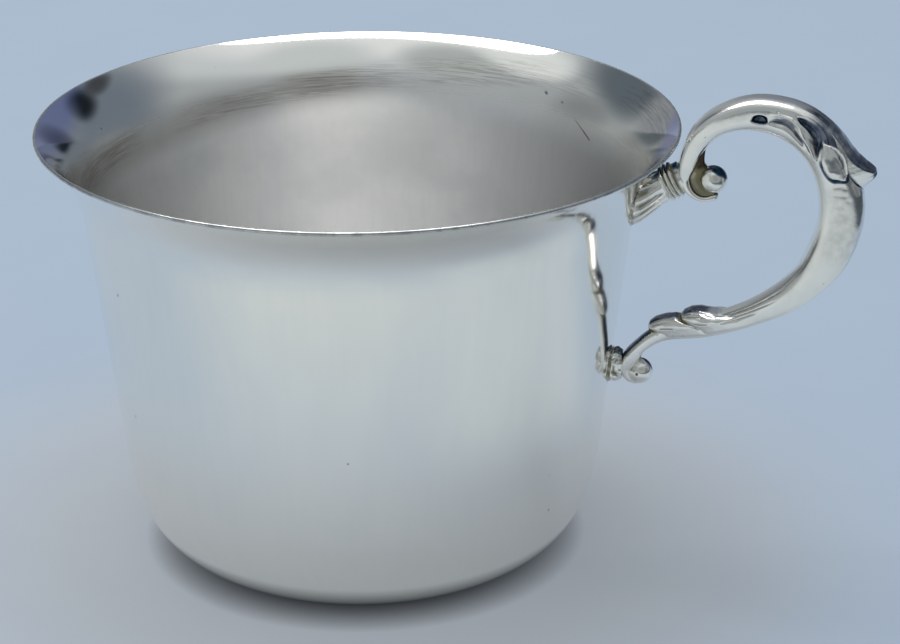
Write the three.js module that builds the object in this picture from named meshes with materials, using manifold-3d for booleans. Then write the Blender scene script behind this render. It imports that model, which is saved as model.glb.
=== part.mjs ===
// Silver-plated punch cup: a spun bowl with a flared lip and a cast C-scroll handle.
// Millimetres, +Z up. The origin is the centre of the base, on the table, and the handle points along +X.

import * as THREE from 'three';
import { mergeVertices } from 'three/addons/utils/BufferGeometryUtils.js';
import Module from 'manifold-3d';

const wasm = await Module();
wasm.setup();
const { degToRad, lerp } = THREE.MathUtils;

// Bowl
const HEIGHT = 58.5;             // table to the top of the lip
const RIM_RADIUS = 41.5;         // lip edge
const FLARE_OUT = 5.75;          // how far the lip stands out past the top of the plain wall
const WALL_TAPER = 4.45;         // how far the plain wall draws in from its top to the foot corner
const HEEL_HEIGHT = 9.6;         // radius of the foot corner
const FLARE_HEIGHT = 10.5;
const FLARE_POWER = 2.5;         // how late the flare turns outwards
const FOOT_STEPS = 7;
const FLARE_STEPS = 8;
const SHEET = 0.8;               // thickness of the spun sheet
const LIP_EDGE = 0.5;            // thickness of the sheet at the lip
const BOWL_SIDES = 72;

// Clearances
const SEAT = 0.25;               // between pieces that are soldered together
const LIP_CLEAR = 0.4;           // between the lip and the back of the scroll
const BACK_TUCK = 0.45;          // how far the back of the scroll tucks in under the lip

// Scroll handle
const REACH = 20.5;              // lip to the middle of the band at its furthest
const RISE = 3.45;               // lip to the middle of the band at its highest
const BAND_DROP = 27.1;          // lip down to the middle of the band where the neck starts
const BALL_DROP = 5.7;           // lip down to the upper ball
const FOOT_DROP = 32.7;          // lip down to the lower ball
const UPPER_BALL = 1.55;         // radii of the balls
const LOWER_BALL = 1.6;
const CURL_START = 290;          // degrees round the upper ball where the curl starts
const CURL_PITCH = 3.8;          // how far the curl opens in a full turn
const BAND_BACK = 1.8;           // thickness of the band beside the lip
const BAND_RISE = 2.8;           // and where it climbs past the lip
const BAND_CREST = 3.3;          // and where it turns over
const BAND_TOP = 4.3;            // and at the top of the arch
const BAND_SIDE = 5.6;           // and where it comes down
const BAND_UNDER = 3.2;          // and along the lower bar
const BAND_GRIP = 2.7;           // and under the grip scales
const BAND_NECK = 2.0;           // and at the neck above the foot
const BAND_TIP = 0.75;           // and at the ends of both curls
const WIDTH_END = 1.9;           // width of the band, across the handle, at the ends of both curls
const WIDTH_CURL = 3.0;
const WIDTH_TOP = 5.0;
const WIDTH_SIDE = 5.6;
const WIDTH_UNDER = 4.4;
const WIDTH_NECK = 2.8;
const BAND_SQUARENESS = 2.4;     // 2 is an ellipse
const BAND_STEPS = 76;
const BAND_SIDES = 20;
const TIP_ROUND = 3;             // rings that round off an end

// Thumb leaf, on the outside of the scroll
const LEAF_START = 8;            // where it springs from the band and where it ends, counted in stops
const LEAF_END = 9.6;
const LEAF_SPREAD = 62;          // degrees round the band from the midrib to an edge
const LEAF_WIDEST = 0.62;        // share of its length
const LEAF_HEIGHT = 0.4;
const LEAF_FLICK = 2.2;          // how far the tip curls away from the band
const LEAF_UNDERCUT = 0.3;       // how far the underside of the tip runs on past its face, in stops
const LOBE_SPREAD = 22;
const LOBE_HEIGHT = 0.5;
const LOBE_ANGLES = [38, 90];    // degrees round the band, from where a lobe springs to where it ends
const RIB_START = 7.05;
const RIB_END = 8.95;
const RIB_ANGLES = [80, 122];
const RIB_RADIUS = 0.42;         // edge rib beside the channel
const CHANNEL_ANGLES = [100, 142];
const CHANNEL_RADIUS = 0.55;

// Grip scales, on the inside of the lower bar
const SCALE_START = 13.55;       // counted in stops
const SCALE_LENGTH = 0.8;
const SCALE_COUNT = 2;
const SCALE_HEIGHT = 1.3;
const SCALE_SWEEP = 0.28;        // how far the edge of a scale trails on the sides

// Leaf bracket and wall pad
const BRACKET_ROOT_DROP = 8.9;   // lip down to the middle of the root
const BRACKET_END_DROP = 5.5;    // lip down to the middle of the collar's end
const ROOT_HALF_HEIGHT = 3.3;
const ROOT_HALF_WIDTH = 2.9;
const WAIST_HALF = 1.85;
const COLLAR_HALF = 2.25;
const FLUTES = 10;
const FLUTE_DEPTH = 0.3;
const PAD_DEPTH = 0.8;
const PAD_HALF_HEIGHT = 2.2;
const PAD_HALF_WIDTH = 1.7;
const PAD_RAISE = 0.7;           // middle of the pad above the middle of the lower ball
const PAD_SQUARENESS = 2.8;
const SOLDER_LEG = 0.5;

const silver = () => new THREE.MeshStandardMaterial({ color: 0xc9ccc9, roughness: 0.22, metalness: 1 });
const castSilver = () => new THREE.MeshStandardMaterial({ color: 0xc2c1b8, roughness: 0.2, metalness: 1 });
const solderGrey = () => new THREE.MeshStandardMaterial({ color: 0xa9a9a4, roughness: 0.4, metalness: 1 });

// Closed solids

function solid(geometry) {
  const bare = geometry.clone();
  for (const name of ['normal', 'uv']) bare.deleteAttribute(name);
  const merged = mergeVertices(bare, 1e-4);
  const mesh = new wasm.Mesh({
    numProp: 3,
    vertProperties: new Float32Array(merged.attributes.position.array),
    triVerts: new Uint32Array(merged.index.array),
  });
  return new wasm.Manifold(mesh);
}

function geometryOf(manifold) {
  const mesh = manifold.getMesh();
  const geometry = new THREE.BufferGeometry();
  geometry.setAttribute('position', new THREE.BufferAttribute(new Float32Array(mesh.vertProperties), 3));
  geometry.setIndex(new THREE.BufferAttribute(new Uint32Array(mesh.triVerts), 1));
  return geometry;
}

// A skin through rings of points that run anticlockwise about the way ahead, with flat ends
function loft(rings) {
  const sides = rings[0].length;
  const points = rings.flat();
  const faces = [];
  for (let i = 0; i < rings.length - 1; i++) {
    for (let k = 0; k < sides; k++) {
      const a = i * sides + k;
      const b = i * sides + (k + 1) % sides;
      faces.push(a, b, a + sides, b, b + sides, a + sides);
    }
  }
  const first = points.length;
  const last = first + 1;
  const end = (rings.length - 1) * sides;
  const middle = (ring) => ring.reduce((sum, p) => sum.add(p), new THREE.Vector3()).divideScalar(sides);
  points.push(middle(rings[0]), middle(rings[rings.length - 1]));
  for (let k = 0; k < sides; k++) {
    const next = (k + 1) % sides;
    faces.push(first, next, k, last, end + k, end + next);
  }
  const geometry = new THREE.BufferGeometry().setFromPoints(points);
  geometry.setIndex(faces);
  return geometry;
}

function superellipse(angle, power) {
  const part = (value) => Math.sign(value) * Math.abs(value) ** (2 / power);
  return [part(Math.cos(angle)), part(Math.sin(angle))];
}

// Bowl

const edgeHeight = HEIGHT - LIP_EDGE;
const wallTop = edgeHeight - FLARE_HEIGHT;
const wallSlope = WALL_TAPER / (wallTop - HEEL_HEIGHT);
const neckRadius = RIM_RADIUS - FLARE_OUT;
const heelRadius = neckRadius - WALL_TAPER;

// Outside radius of the bowl at a height above the foot corner
function wallRadius(z) {
  const straight = neckRadius + (z - wallTop) * wallSlope;
  const up = Math.max(0, (z - wallTop) / FLARE_HEIGHT);
  return straight + (FLARE_OUT - FLARE_HEIGHT * wallSlope) * up ** FLARE_POWER;
}

// Outside of the bowl from the base up, as points with the way out from the sheet
function outsideProfile() {
  const lean = Math.atan(wallSlope);
  const centre = heelRadius - HEEL_HEIGHT * Math.cos(lean);
  const profile = [];
  for (let i = 0; i <= FOOT_STEPS; i++) {
    const angle = lerp(-Math.PI / 2, -lean, i / FOOT_STEPS);
    const out = new THREE.Vector2(Math.cos(angle), Math.sin(angle));
    profile.push({ at: new THREE.Vector2(centre, HEEL_HEIGHT).addScaledVector(out, HEEL_HEIGHT), out });
  }
  const heights = [lerp(HEEL_HEIGHT, wallTop, 0.5), wallTop];
  for (let i = 1; i <= FLARE_STEPS; i++) heights.push(wallTop + FLARE_HEIGHT * (i / FLARE_STEPS) ** 0.8);
  for (const z of heights) {
    const step = 0.01;
    const slope = (wallRadius(z) - wallRadius(z - step)) / step;
    const out = new THREE.Vector2(1, -slope).normalize();
    profile.push({ at: new THREE.Vector2(wallRadius(z), z), out });
  }
  return profile;
}

// The outside of the bowl grown by a distance, filled up to the lip and a little above
function bowlEnvelope(grow) {
  const outline = outsideProfile().map(({ at, out }) => at.clone().addScaledVector(out, grow));
  const low = outline[0].y;
  const top = outline[outline.length - 1].clone().add(new THREE.Vector2(0, 2 * LIP_EDGE));
  const points = [new THREE.Vector2(0, low), ...outline, top, new THREE.Vector2(0, top.y)];
  return solid(new THREE.LatheGeometry(points, BOWL_SIDES).rotateX(Math.PI / 2));
}

function bowl() {
  const outside = outsideProfile();
  const inside = outside.map(({ at, out }) => {
    const up = Math.max(0, (at.y - wallTop) / FLARE_HEIGHT);
    return at.clone().addScaledVector(out, -lerp(SHEET, LIP_EDGE, up));
  });
  const edge = outside[outside.length - 1];
  const lip = [-60, 0, 60].map((degrees) => {
    const angle = degToRad(degrees);
    const along = new THREE.Vector2(-edge.out.y, edge.out.x);
    return edge.at.clone().addScaledVector(edge.out, -LIP_EDGE / 2 - Math.sin(angle) * LIP_EDGE / 2)
      .addScaledVector(along, Math.cos(angle) * LIP_EDGE / 2);
  });
  const points = [new THREE.Vector2(0, 0), ...outside.map(({ at }) => at), ...lip, ...inside.reverse(),
    new THREE.Vector2(0, SHEET)];
  return new THREE.LatheGeometry(points, BOWL_SIDES).rotateX(Math.PI / 2);
}

// Scroll handle: the path of the band's middle in the XZ plane, from the upper eye to the lower one

const backX = RIM_RADIUS + LIP_CLEAR + BAND_BACK / 2 - BACK_TUCK;
const upperInner = UPPER_BALL + SEAT + BAND_TIP / 2;
const spiral = (degrees) => upperInner + CURL_PITCH * (CURL_START - degrees) / 360;
const upperEye = new THREE.Vector3(backX + spiral(180), 0, HEIGHT - BALL_DROP);
const footHeight = HEIGHT - FOOT_DROP;
const footBandX = wallRadius(footHeight) + 2 * SEAT + PAD_DEPTH + BAND_TIP / 2;
const lowerInner = LOWER_BALL + SEAT + BAND_TIP / 2;
const lowerEye = new THREE.Vector3(footBandX + lowerInner, 0, footHeight);
const outX = RIM_RADIUS + REACH;
const topZ = HEIGHT + RISE;
const bottomZ = HEIGHT - BAND_DROP;

const turn = (eye, radius, degrees) => {
  const angle = degToRad(degrees);
  return new THREE.Vector3(eye.x + radius * Math.cos(angle), 0, eye.z + radius * Math.sin(angle));
};
const upperTurn = (degrees) => turn(upperEye, spiral(degrees), degrees);
const lowerTurn = (radii, degrees) => turn(lowerEye, lowerInner * radii, degrees);

// Places on the arch and on the bar under it, as shares of the way out and of the way down
const arch = (out, down) => new THREE.Vector3(lerp(backX, outX, out), 0, lerp(topZ, bottomZ, down));
const bar = (out, down) => new THREE.Vector3(lerp(lowerEye.x, outX, out), 0, lerp(topZ, bottomZ, down));

// Each stop: where the middle of the band is, its thickness in the plane and its width across it
const stops = [
  [upperTurn(CURL_START), BAND_TIP, WIDTH_END],
  [upperTurn(255), BAND_TIP, lerp(WIDTH_END, WIDTH_CURL, 0.5)],
  [upperTurn(215), lerp(BAND_TIP, BAND_BACK, 0.2), WIDTH_CURL],
  [upperTurn(180), lerp(BAND_TIP, BAND_BACK, 0.7), WIDTH_CURL],
  [upperTurn(150), lerp(BAND_BACK, BAND_RISE, 0.5), lerp(WIDTH_CURL, WIDTH_TOP, 0.25)],
  [arch(0.06, 0.145), BAND_RISE, lerp(WIDTH_CURL, WIDTH_TOP, 0.5)],
  [arch(0.195, 0.047), BAND_CREST, WIDTH_TOP],
  [arch(0.42, 0), BAND_TOP, WIDTH_TOP],
  [arch(0.69, 0.038), lerp(BAND_TOP, BAND_SIDE, 0.5), lerp(WIDTH_TOP, WIDTH_SIDE, 0.5)],
  [arch(0.895, 0.155), lerp(BAND_TOP, BAND_SIDE, 0.85), WIDTH_SIDE],
  [arch(1, 0.358), BAND_SIDE, WIDTH_SIDE],
  [arch(0.955, 0.57), BAND_SIDE, WIDTH_SIDE],
  [arch(0.79, 0.735), lerp(BAND_SIDE, BAND_UNDER, 0.5), lerp(WIDTH_SIDE, WIDTH_UNDER, 0.5)],
  [bar(0.605, 0.869), BAND_UNDER, WIDTH_UNDER],
  [bar(0.355, 0.951), BAND_GRIP, lerp(WIDTH_UNDER, WIDTH_NECK, 0.3)],
  [bar(0.11, 1), BAND_NECK, WIDTH_NECK],
  [lowerTurn(2.15, 84), BAND_NECK, WIDTH_NECK],
  [lowerTurn(1.45, 122), lerp(BAND_NECK, BAND_TIP, 0.4), WIDTH_NECK],
  [lowerTurn(1, 170), BAND_TIP, lerp(WIDTH_NECK, WIDTH_END, 0.3)],
  [lowerTurn(1, 215), BAND_TIP, lerp(WIDTH_NECK, WIDTH_END, 0.6)],
  [lowerTurn(1, 255), BAND_TIP, WIDTH_END],
];
const path = new THREE.CatmullRomCurve3(stops.map(([at]) => at), false, 'centripetal');
const gauge = new THREE.CatmullRomCurve3(stops.map(([, thick, wide]) => new THREE.Vector3(thick, wide, 0)));

// Position on the band's path, counted in stops, with its frame: ahead, outwards in the plane, and across
function station(along) {
  const share = THREE.MathUtils.clamp(along / (stops.length - 1), 0, 1);
  const at = path.getPoint(share);
  const ahead = path.getTangent(share);
  const size = gauge.getPoint(share);
  return {
    at, ahead,
    out: new THREE.Vector3(-ahead.z, 0, ahead.x),
    across: new THREE.Vector3(0, -1, 0),
    thick: size.x,
    wide: size.y,
  };
}

// A point on the band's skin, at an angle from its outer side towards -Y, grown by a distance
function onBand(along, angle, grow = 0) {
  const here = station(along);
  const [outwards, sideways] = superellipse(angle, BAND_SQUARENESS);
  return here.at.clone()
    .addScaledVector(here.out, outwards * (here.thick / 2 + grow))
    .addScaledVector(here.across, sideways * (here.wide / 2 + grow));
}

// How high the grip scales stand: each rises slowly and ends in a rounded edge that trails on the sides
function scaleRelief(along, angle) {
  const inner = Math.max(0, -Math.cos(angle));
  const scales = (along - SCALE_START - SCALE_SWEEP * (1 - inner)) / SCALE_LENGTH;
  const mine = Math.floor(scales);
  if (mine < 0 || mine >= SCALE_COUNT) return 0;
  const rise = scales - mine;
  const edge = Math.sqrt(1 - Math.max(0, (rise - 0.75) / 0.25) ** 2);
  return SCALE_HEIGHT * Math.min(1, rise * 1.7) ** 0.6 * edge * Math.min(1, 0.2 + inner);
}

function band(grow = 0) {
  const rings = [];
  for (let i = -TIP_ROUND; i <= BAND_STEPS + TIP_ROUND; i++) {
    const step = THREE.MathUtils.clamp(i, 0, BAND_STEPS);
    const along = step / BAND_STEPS * (stops.length - 1);
    const here = station(along);
    const past = (i - step) / (TIP_ROUND + 0.5);
    const shrink = Math.sqrt(1 - past * past);
    const middle = here.at.clone().addScaledVector(here.ahead, past * (here.thick / 2 + grow));
    const ring = [];
    for (let k = 0; k < BAND_SIDES; k++) {
      const angle = 2 * Math.PI * k / BAND_SIDES;
      const skin = onBand(along, angle, grow + scaleRelief(along, angle)).sub(here.at);
      ring.push(middle.clone().addScaledVector(skin, shrink));
    }
    rings.push(ring);
  }
  return solid(loft(rings));
}

// A leaf that lies wrapped round the band. The shape gives, for a share of its length, how far along the
// band it is, its middle angle, the angle to each edge, its height, its depth, its lift off the band and
// how far its underside runs on past its face.
function wrappedLeaf(shape, steps = 12, sides = 14) {
  const rings = [];
  for (let i = 0; i <= steps; i++) {
    const leaf = shape(i / steps);
    const ring = [];
    for (let k = 0; k < sides; k++) {
      const round = 2 * Math.PI * k / sides;
      const over = Math.cos(round);
      const grow = over * (over > 0 ? leaf.high : leaf.deep);
      const along = leaf.along + leaf.undercut * Math.max(0, -over);
      const point = onBand(along, leaf.angle + leaf.spread * Math.sin(round), grow);
      ring.push(point.addScaledVector(station(leaf.along).out, leaf.lift));
    }
    rings.push(ring);
  }
  return solid(loft(rings));
}

// Grows from nothing to full at the peak, then shrinks to its share at the end
const swell = (f, peak, end) => (f < peak ? Math.sin(Math.PI / 2 * f / peak) ** 0.8
  : lerp(1, end, ((f - peak) / (1 - peak)) ** 2));
const leafAlong = (f) => lerp(LEAF_START, LEAF_END, f);

function leafBlade() {
  return wrappedLeaf((f) => ({
    along: leafAlong(f),
    angle: 0,
    spread: degToRad(LEAF_SPREAD) * (0.1 + 0.9 * swell(f, LEAF_WIDEST, 0.42)),
    high: LEAF_HEIGHT * (0.15 + 0.85 * swell(f, 0.7, 0.4)),
    deep: LEAF_HEIGHT + LEAF_FLICK * f ** 6,
    lift: LEAF_FLICK * Math.max(0, lerp(-2.2, 1, f)) ** 1.6,
    undercut: LEAF_UNDERCUT * f ** 6,
  }), 16, 18);
}

function sideLobe(side) {
  return wrappedLeaf((f) => ({
    along: leafAlong(0.12 + 0.85 * f),
    angle: side * degToRad(lerp(...LOBE_ANGLES, f)),
    spread: degToRad(LOBE_SPREAD) * swell(f, 0.75, 0.45),
    high: LOBE_HEIGHT * swell(f, 0.8, 0.6),
    deep: LOBE_HEIGHT,
    lift: 0,
    undercut: 0,
  }), 12, 12);
}

// A round bead or cutter that runs along the band's skin
function skinTube(side, angles, radius) {
  const steps = 14;
  const sides = 8;
  const at = (f) => onBand(lerp(RIB_START, RIB_END, f), side * degToRad(lerp(...angles, f ** 1.8)));
  const rings = [];
  for (let i = 0; i <= steps; i++) {
    const f = i / steps;
    const ahead = at(Math.min(1, f + 0.02)).sub(at(Math.max(0, f - 0.02))).normalize();
    const up = new THREE.Vector3(0, side, 0).cross(ahead).normalize();
    const over = ahead.clone().cross(up);
    const size = radius * Math.sqrt(1 - 0.85 * (2 * f - 1) ** 4);
    const ring = [];
    for (let k = 0; k < sides; k++) {
      const round = 2 * Math.PI * k / sides;
      ring.push(at(f).addScaledVector(up, size * Math.cos(round))
        .addScaledVector(over, size * Math.sin(round)));
    }
    rings.push(ring);
  }
  return solid(loft(rings));
}

function scrollHandle() {
  let handle = band().add(leafBlade());
  for (const side of [1, -1]) {
    handle = handle.add(sideLobe(side));
    handle = handle.subtract(skinTube(side, CHANNEL_ANGLES, CHANNEL_RADIUS));
    handle = handle.add(skinTube(side, RIB_ANGLES, RIB_RADIUS));
  }
  return geometryOf(handle);
}

// Leaf bracket: a fluted fan on the wall that draws in to a ribbed collar against the scroll

const rootHeight = HEIGHT - BRACKET_ROOT_DROP;
const bracketRoot = new THREE.Vector3(wallRadius(rootHeight), 0, rootHeight);
const bracketEnd = new THREE.Vector3(backX, 0, HEIGHT - BRACKET_END_DROP);
const bracketStops = [
  // way along from the wall, half height, half width, depth of the flutes
  [-0.4, ROOT_HALF_HEIGHT, ROOT_HALF_WIDTH, 1],
  [0.1, ROOT_HALF_HEIGHT, ROOT_HALF_WIDTH, 1],
  [0.25, lerp(WAIST_HALF, ROOT_HALF_HEIGHT, 0.6), lerp(WAIST_HALF, ROOT_HALF_WIDTH, 0.7), 1],
  [0.45, lerp(WAIST_HALF, ROOT_HALF_HEIGHT, 0.15), lerp(WAIST_HALF, ROOT_HALF_WIDTH, 0.25), 0.7],
  [0.6, WAIST_HALF, WAIST_HALF, 0.3],
  [0.63, COLLAR_HALF, COLLAR_HALF, 0],
  [0.71, COLLAR_HALF, COLLAR_HALF, 0],
  [0.74, WAIST_HALF, WAIST_HALF, 0],
  [0.77, COLLAR_HALF, COLLAR_HALF, 0],
  [0.85, COLLAR_HALF, COLLAR_HALF, 0],
  [0.88, WAIST_HALF, WAIST_HALF, 0],
  [1, WAIST_HALF, WIDTH_CURL / 2, 0],
];

// The rings stand upright at the wall and turn square to the bracket's path by the waist
function bracketBody(grow = 0, stops = bracketStops) {
  const sides = 4 * FLUTES;
  const path = bracketEnd.clone().sub(bracketRoot);
  const square = new THREE.Vector3(-path.z, 0, path.x).normalize();
  const rings = stops.map(([along, high, wide, fluted]) => {
    const upright = new THREE.Vector3(0, 0, 1);
    const up = upright.lerp(square, THREE.MathUtils.smoothstep(along, 0, 0.6)).normalize();
    const middle = bracketRoot.clone().addScaledVector(path, Math.max(0, along));
    middle.x += Math.min(0, along) * path.length();
    const ring = [];
    for (let k = 0; k < sides; k++) {
      const angle = 2 * Math.PI * k / sides;
      const cut = fluted * FLUTE_DEPTH * (0.5 - 0.5 * Math.cos(FLUTES * angle));
      const point = middle.clone().addScaledVector(up, Math.cos(angle) * (high + grow - cut));
      point.y -= Math.sin(angle) * (wide + grow - cut);
      ring.push(point);
    }
    return ring;
  });
  return solid(loft(rings));
}

// The fan without its collar, for the solder to go round
const bracketFan = (grow) => bracketBody(grow, bracketStops.filter(([, , , fluted]) => fluted > 0));

function leafBracket() {
  return geometryOf(bracketBody().subtract(bowlEnvelope(SEAT)).subtract(band(SEAT)));
}

// Wall pad: the boss between the wall and the foot of the scroll

function padBody(grow = 0) {
  const sides = 20;
  const rings = [wallRadius(footHeight) - SHEET, footBandX].map((x) => {
    const ring = [];
    for (let k = 0; k < sides; k++) {
      const [upwards, sideways] = superellipse(2 * Math.PI * k / sides, PAD_SQUARENESS);
      ring.push(new THREE.Vector3(x, -sideways * (PAD_HALF_WIDTH + grow),
        footHeight + PAD_RAISE + upwards * (PAD_HALF_HEIGHT + grow)));
    }
    return ring;
  });
  return solid(loft(rings));
}

function wallPad() {
  return geometryOf(padBody().subtract(bowlEnvelope(SEAT)).subtract(band(SEAT)));
}

// A fillet of solder on the wall, round the root of a piece
function solder(root, body) {
  const bead = root(SEAT + SOLDER_LEG).intersect(bowlEnvelope(SEAT + SOLDER_LEG));
  return geometryOf(bead.subtract(bowlEnvelope(SEAT)).subtract(body(SEAT)));
}

const ball = (radius) => new THREE.SphereGeometry(radius, 16, 12);

// Assembly

const cup = new THREE.Group();

function place(name, geometry, material, at = new THREE.Vector3()) {
  const mesh = new THREE.Mesh(geometry, material);
  mesh.name = name;
  mesh.position.copy(at);
  cup.add(mesh);
}

place('bowl', bowl(), silver());
place('leaf_bracket', leafBracket(), castSilver());
place('scroll_handle', scrollHandle(), castSilver());
place('upper_ball', ball(UPPER_BALL), castSilver(), upperEye);
place('lower_ball', ball(LOWER_BALL), castSilver(), lowerEye);
place('wall_pad', wallPad(), castSilver());
place('upper_solder', solder(bracketFan, bracketBody), solderGrey());
place('lower_solder', solder(padBody, padBody), solderGrey());

export default cup;
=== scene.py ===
# A silver-plated punch cup on a pale blue studio floor: a spun bowl and a cast C-scroll handle.
# The frame gives the overall sizes and places. Shapes are worked out in millimetres and made in metres.

import math

import bmesh
import bpy
import numpy as np
from mathutils import Matrix, Vector, noise


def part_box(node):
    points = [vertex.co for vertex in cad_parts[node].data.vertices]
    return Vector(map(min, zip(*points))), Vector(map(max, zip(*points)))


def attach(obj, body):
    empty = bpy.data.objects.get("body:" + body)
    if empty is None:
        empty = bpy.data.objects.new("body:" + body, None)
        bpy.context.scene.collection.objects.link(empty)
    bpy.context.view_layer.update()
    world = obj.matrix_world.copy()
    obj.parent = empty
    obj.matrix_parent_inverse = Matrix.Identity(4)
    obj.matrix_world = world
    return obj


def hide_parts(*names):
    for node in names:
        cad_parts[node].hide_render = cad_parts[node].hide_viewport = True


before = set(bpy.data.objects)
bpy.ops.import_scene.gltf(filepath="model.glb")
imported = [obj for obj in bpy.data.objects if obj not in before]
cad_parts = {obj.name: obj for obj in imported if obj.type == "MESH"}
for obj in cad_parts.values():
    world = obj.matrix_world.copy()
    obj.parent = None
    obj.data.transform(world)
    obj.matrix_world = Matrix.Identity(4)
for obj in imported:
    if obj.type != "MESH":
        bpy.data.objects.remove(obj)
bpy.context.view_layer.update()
MM = 0.001


# Sizes from the frame, in millimetres

def box_mm(node):
    low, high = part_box(node)
    return np.array(low) / MM, np.array(high) / MM


def middle_mm(node):
    low, high = box_mm(node)
    return (low + high) / 2


BOWL_HIGH = box_mm("bowl")[1]
LIP_SWELL = 0.09  # how far the rounded lip passes its edge
RIM_RADIUS = BOWL_HIGH[0] - LIP_SWELL
HEIGHT = BOWL_HIGH[2]
UPPER_EYE = middle_mm("upper_ball")
LOWER_EYE = middle_mm("lower_ball")
UPPER_BALL = (box_mm("upper_ball")[1] - UPPER_EYE)[0]
LOWER_BALL = (box_mm("lower_ball")[1] - LOWER_EYE)[0]

# Bowl
FLARE_HEIGHT = 10.5
FLARE_OUT = 5.75
FLARE_POWER = 2.5
WALL_TAPER = 4.45
HEEL_HEIGHT = 9.6
SHEET = 0.8
LIP_EDGE = 0.5

# Scroll handle
LIP_CLEAR = 0.4
BACK_TUCK = 0.45
SEAT = 0.25
REACH = 20.5
RISE = 3.45
BAND_DROP = 27.1
CURL_START = 290
CURL_PITCH = 3.8
CURL_CUT = 6  # degrees of the curl that the band leaves out at its start
BAND_BACK = 1.8
BAND_RISE = 2.75
BAND_CREST = 3.2
BAND_TOP = 4.2
BAND_SIDE = 5.5
BAND_UNDER = 3.1
BAND_GRIP = 2.6
BAND_NECK = 2.0
BAND_TIP = 0.75
TIP_SWELL = 1.15
WIDTH_END = 1.9
WIDTH_CURL = 2.95
WIDTH_TOP = 4.8
WIDTH_SIDE = 5.4
WIDTH_UNDER = 4.3
WIDTH_NECK = 2.75
SQUARE_OUTSIDE = 3.3
SQUARE_INSIDE = 2.8


# Camera at the photograph's angle, placed about the centre of the rim

CAMERA_DISTANCE = 0.330
CAMERA_RISE = math.radians(17.94)
CAMERA_ROUND = math.radians(12)  # towards the handle
CAMERA_YAW = math.radians(1.98)
CAMERA_PITCH = math.radians(4.57)
CAMERA_ROLL = math.radians(0.95)
CAMERA_LENS = 102
CAMERA_SENSOR = 36
CAMERA_CLIP = 0.01


def add_object(name, data):
    """A new object, linked into the scene."""
    item = bpy.data.objects.new(name, data)
    bpy.context.scene.collection.objects.link(item)
    return item


def turned(a, b, angle):
    return a * math.cos(angle) + b * math.sin(angle), b * math.cos(angle) - a * math.sin(angle)


def make_camera():
    ahead = Vector((0, math.cos(CAMERA_RISE), -math.sin(CAMERA_RISE)))
    right = Vector((1, 0, 0))
    down = ahead.cross(right)
    place = ahead * -CAMERA_DISTANCE
    ahead, right = turned(ahead, right, CAMERA_YAW)
    ahead, down = turned(ahead, down, CAMERA_PITCH)
    right, down = turned(right, down, CAMERA_ROLL)
    data = bpy.data.cameras.new("camera")
    data.lens = CAMERA_LENS
    data.sensor_width = CAMERA_SENSOR
    data.clip_start = CAMERA_CLIP
    camera = add_object("camera", data)
    facing = Matrix((right, -down, -ahead)).transposed().to_4x4()
    around = Matrix.Rotation(CAMERA_ROUND, 4, "Z")
    rim = Matrix.Translation((0, 0, HEIGHT * MM))
    camera.matrix_world = rim @ around @ Matrix.Translation(place) @ facing
    bpy.context.scene.camera = camera


make_camera()


# Mesh helpers

def lerp(a, b, share):
    return a + (b - a) * share


def smooth(low, high, value):
    share = np.clip((value - low) / (high - low), 0, 1)
    return share * share * (3 - 2 * share)


def unit(ways):
    """Ways brought to a length of 1."""
    return ways / np.linalg.norm(ways, axis=-1, keepdims=True)


def turns(count):
    """Angles spread evenly once round."""
    return 2 * np.pi * np.arange(count) / count


def squared(angle, power):
    """Cosine and sine for a ring that is a circle at a power of 2, and squarer above it."""
    return [np.sign(part) * np.abs(part) ** (2 / power) for part in (np.cos(angle), np.sin(angle))]


def make_piece(name, points, faces, materials, face_material=None, **tarnish_and_shade):
    """A smooth mesh in metres from points in millimetres, with any layers of tarnish and painted shade on its
    points.
    """
    mesh = bpy.data.meshes.new(name)
    mesh.from_pydata((np.asarray(points) * MM).tolist(), [], faces)
    for material in materials:
        mesh.materials.append(material)
    if face_material is not None:
        mesh.polygons.foreach_set("material_index", face_material)
    for kind, amount in tarnish_and_shade.items():
        layer = mesh.attributes.new(kind, "FLOAT", "POINT")
        layer.data.foreach_set("value", np.asarray(amount, np.float32))
    mesh.shade_smooth()
    mesh.update()
    return add_object(name, mesh)


def strips(rows, columns, count):
    """Faces between closed rows of points. After the last row comes the first."""
    faces = []
    for i in range(count):
        for k in range(columns):
            j, n = (i + 1) % rows, (k + 1) % columns
            faces.append((i * columns + k, i * columns + n, j * columns + n, j * columns + k))
    return faces


def skin(rows, columns):
    """Faces over closed rows of points, with a fan on a last point at each end."""
    faces = strips(rows, columns, rows - 1)
    first = rows * columns
    end = first - columns
    for k in range(columns):
        after = (k + 1) % columns
        faces.append((first, after, k))
        faces.append((first + 1, end + k, end + after))
    return faces


def capped(rows):
    """The points of all rows, with a last point in the middle of each end."""
    return np.vstack(list(rows) + [[rows[0].mean(axis=0)], [rows[-1].mean(axis=0)]])


def curve_at(points, at):
    """A smooth curve through the points, at places counted in points."""
    known = np.asarray(points, float)
    known = np.vstack([2 * known[0] - known[1], known, 2 * known[-1] - known[-2]])
    first = np.clip(np.floor(at).astype(int), 0, len(points) - 2)
    share = (at - first)[:, None]
    p0, p1, p2, p3 = (known[first + k] for k in range(4))
    gaps = [np.linalg.norm(b - a, axis=1, keepdims=True) for a, b in ((p0, p1), (p1, p2), (p2, p3))]
    d0, d1, d2 = (np.sqrt(np.maximum(gap, 1e-9)) for gap in gaps)
    m1 = ((p1 - p0) / d0 - (p2 - p0) / (d0 + d1) + (p2 - p1) / d1) * d1
    m2 = ((p2 - p1) / d1 - (p3 - p1) / (d1 + d2) + (p3 - p2) / d2) * d1
    return (p1 + m1 * share + (3 * (p2 - p1) - 2 * m1 - m2) * share ** 2
            + (2 * (p1 - p2) + m1 + m2) * share ** 3)


# Bowl

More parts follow.
